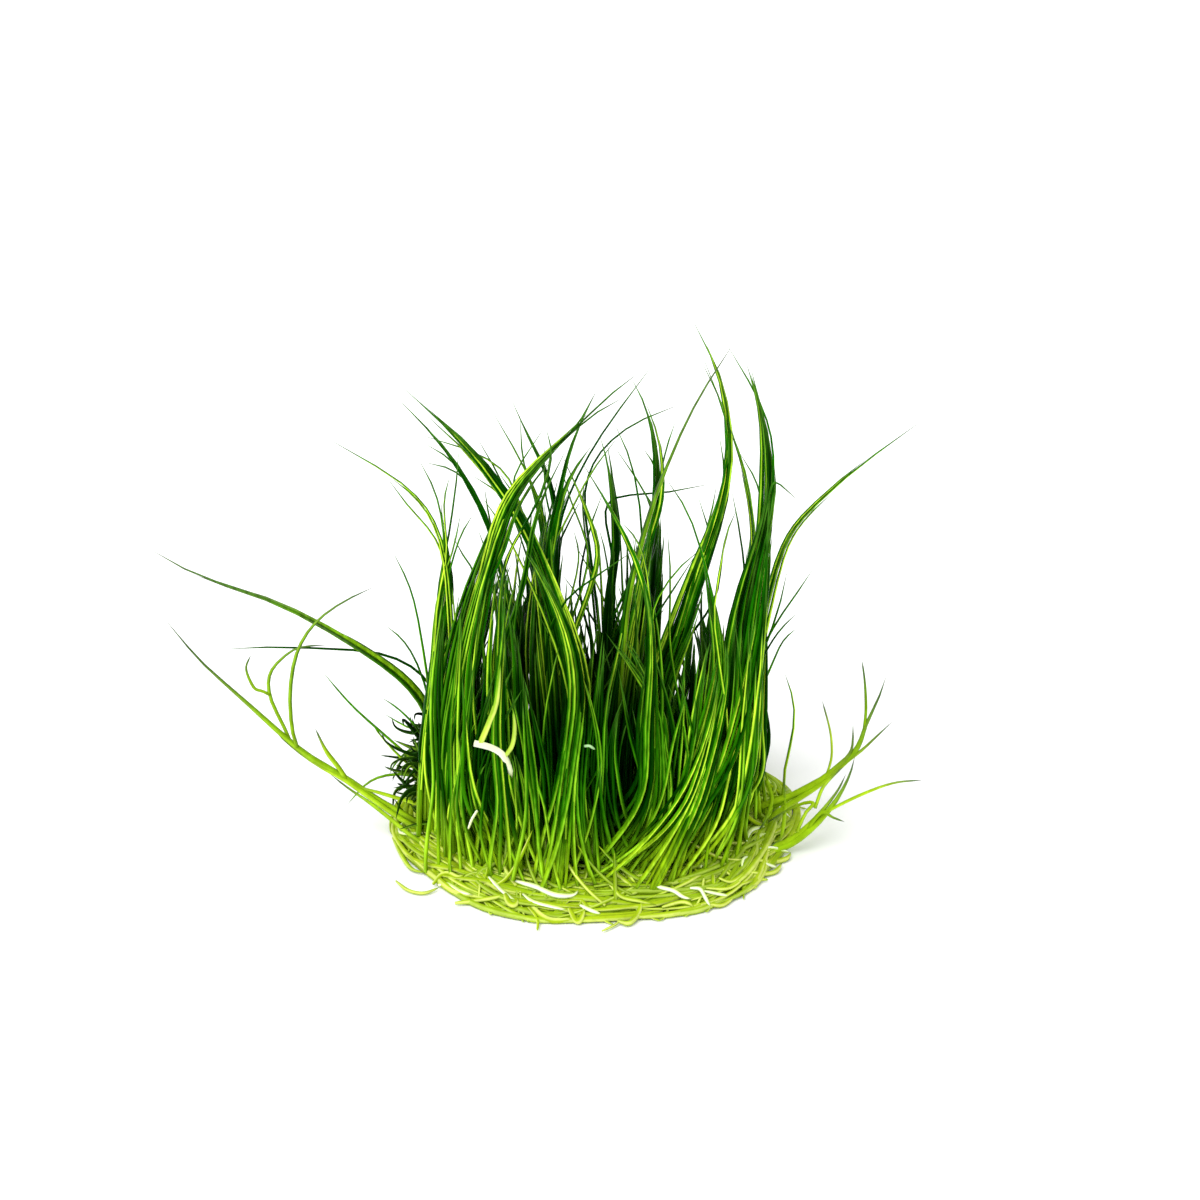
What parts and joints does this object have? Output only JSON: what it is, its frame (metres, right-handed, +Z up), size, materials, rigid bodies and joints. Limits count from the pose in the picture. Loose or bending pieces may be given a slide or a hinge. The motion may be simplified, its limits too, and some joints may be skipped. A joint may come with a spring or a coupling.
{
  "type": "dwarf hairgrass plant portion",
  "caption": "Round portion of dwarf hairgrass: a thin root mat carrying dense upright tufts of thin round green leaves, with a few runners and long leaves reaching out.",
  "frame": {"origin": "middle of the root mat's flat underside", "axes": "+Z up, +X towards the plant's right as the picture shows it, +Y away from the viewer"},
  "size_m": [0.1143, 0.0691, 0.0796],
  "materials": {
    "leaf_green": "wet satin leaf, dark green above and lime at the base",
    "runner_lime": "smooth lime-green stem",
    "root_mat": "woven lime-green and whitish roots",
    "rhizome_pale": "smooth whitish rhizome"
  },
  "bodies": {
    "root": {"root_mat": "root_mat", "tuft_right_tall": "leaf_green", "tuft_right_sweep": "leaf_green", "tuft_middle_right": "leaf_green", "tuft_front_right": "leaf_green", "tuft_left_lean": "leaf_green", "tuft_left_fork": "leaf_green", "tuft_left_arch": "leaf_green", "tuft_left_column": "leaf_green", "tuft_tall": "leaf_green", "tuft_middle_peak": "leaf_green", "tuft_centre_left": "leaf_green", "tuft_dark_left": "leaf_green", "tuft_inner_left": "leaf_green", "tuft_behind_left": "leaf_green", "tuft_centre": "leaf_green", "leaf_bright": "leaf_green", "leaf_right_blade": "leaf_green", "leaf_fine_right": "leaf_green", "leaf_centre_a": "leaf_green", "leaf_centre_b": "leaf_green", "leaf_left_hair": "leaf_green", "tuft_front_1": "leaf_green", "tuft_front_2": "leaf_green", "tuft_front_3": "leaf_green", "tuft_front_4": "leaf_green", "tuft_front_5": "leaf_green", "tuft_front_6": "leaf_green", "tuft_middle_1": "leaf_green", "tuft_middle_2": "leaf_green", "tuft_middle_3": "leaf_green", "tuft_middle_4": "leaf_green", "tuft_middle_5": "leaf_green", "tuft_middle_6": "leaf_green", "tuft_middle_7": "leaf_green", "tuft_middle_8": "leaf_green", "tuft_back_1": "leaf_green", "tuft_back_2": "leaf_green", "tuft_back_3": "leaf_green", "tuft_back_4": "leaf_green", "tuft_back_5": "leaf_green", "tuft_back_6": "leaf_green", "tuft_back_7": "leaf_green", "tuft_back_8": "leaf_green", "tuft_back_9": "leaf_green", "tuft_back_10": "leaf_green", "tuft_back_11": "leaf_green", "tuft_back_12": "leaf_green", "branch_left": "leaf_green", "branch_back": "leaf_green", "runner_left": "runner_lime", "runner_right_upper": "runner_lime", "runner_right_lower": "runner_lime", "runner_back": "runner_lime", "leaf_runner_arch": "runner_lime", "leaf_runner_loop": "runner_lime", "rhizome_pale": "rhizome_pale"}
  },
  "joints": []
}
